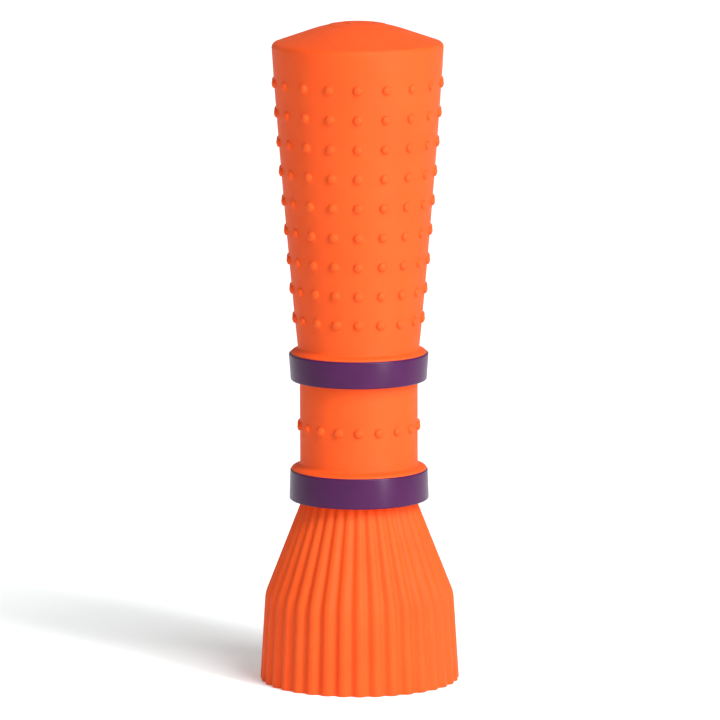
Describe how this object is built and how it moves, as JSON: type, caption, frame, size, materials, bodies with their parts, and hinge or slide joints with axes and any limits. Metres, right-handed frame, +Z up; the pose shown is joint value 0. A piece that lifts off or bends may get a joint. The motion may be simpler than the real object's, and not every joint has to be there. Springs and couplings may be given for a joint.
{
  "type": "dust blower bulb",
  "caption": "Hand squeezed dust blower: tapered nubbed silicone bulb on a clamped collar, with a fluted skirt that covers the nozzle and serves as its stand.",
  "frame": {"origin": "on the bench, at the centre of the skirt's rim", "axes": "+Z up along the object's axis, from the skirt to the crown; -Y faces the viewer"},
  "size_m": [0.0542, 0.0542, 0.18],
  "materials": {
    "silicone": "matte moulded orange silicone",
    "band_plastic": "satin moulded purple plastic",
    "core_plastic": "natural moulded plastic",
    "nozzle_plastic": "satin black moulded plastic",
    "steel": "drawn stainless steel",
    "seal_rubber": "black nitrile",
    "valve_rubber": "red-brown rubber",
    "filter_felt": "pressed felt"
  },
  "bodies": {
    "stand": {"fluted_skirt": "silicone"},
    "blower": {"squeeze_bulb": "silicone", "upper_band": "band_plastic", "collar_sleeve": "silicone", "lower_band": "band_plastic", "neck_core": "core_plastic", "nozzle_body": "nozzle_plastic", "nozzle_tube": "steel", "nozzle_seal": "seal_rubber", "outlet_seat": "core_plastic", "outlet_spring": "steel", "inlet_cap": "silicone", "inlet_filter": "filter_felt", "inlet_housing": "core_plastic", "inlet_spring": "steel", "inlet_cage": "core_plastic"},
    "outlet_valve_ball": {"outlet_ball": "valve_rubber"},
    "inlet_valve_disc": {"inlet_disc": "valve_rubber"}
  },
  "joints": [
    {"name": "blower_lift", "type": "slide", "parent": "stand", "child": "blower", "axis": [0, 0, 1], "range_m": [0, 0.045]},
    {"name": "outlet_valve", "type": "slide", "parent": "blower", "child": "outlet_valve_ball", "axis": [0, 0, -1], "range_m": [0, 0.0015], "stiffness_N_per_m": 10, "springref_m": -0.001, "deforming": ["outlet_spring"]},
    {"name": "inlet_valve", "type": "slide", "parent": "blower", "child": "inlet_valve_disc", "axis": [0, 0, -1], "range_m": [0, 0.0012], "stiffness_N_per_m": 5, "springref_m": -0.001, "deforming": ["inlet_spring"]}
  ]
}
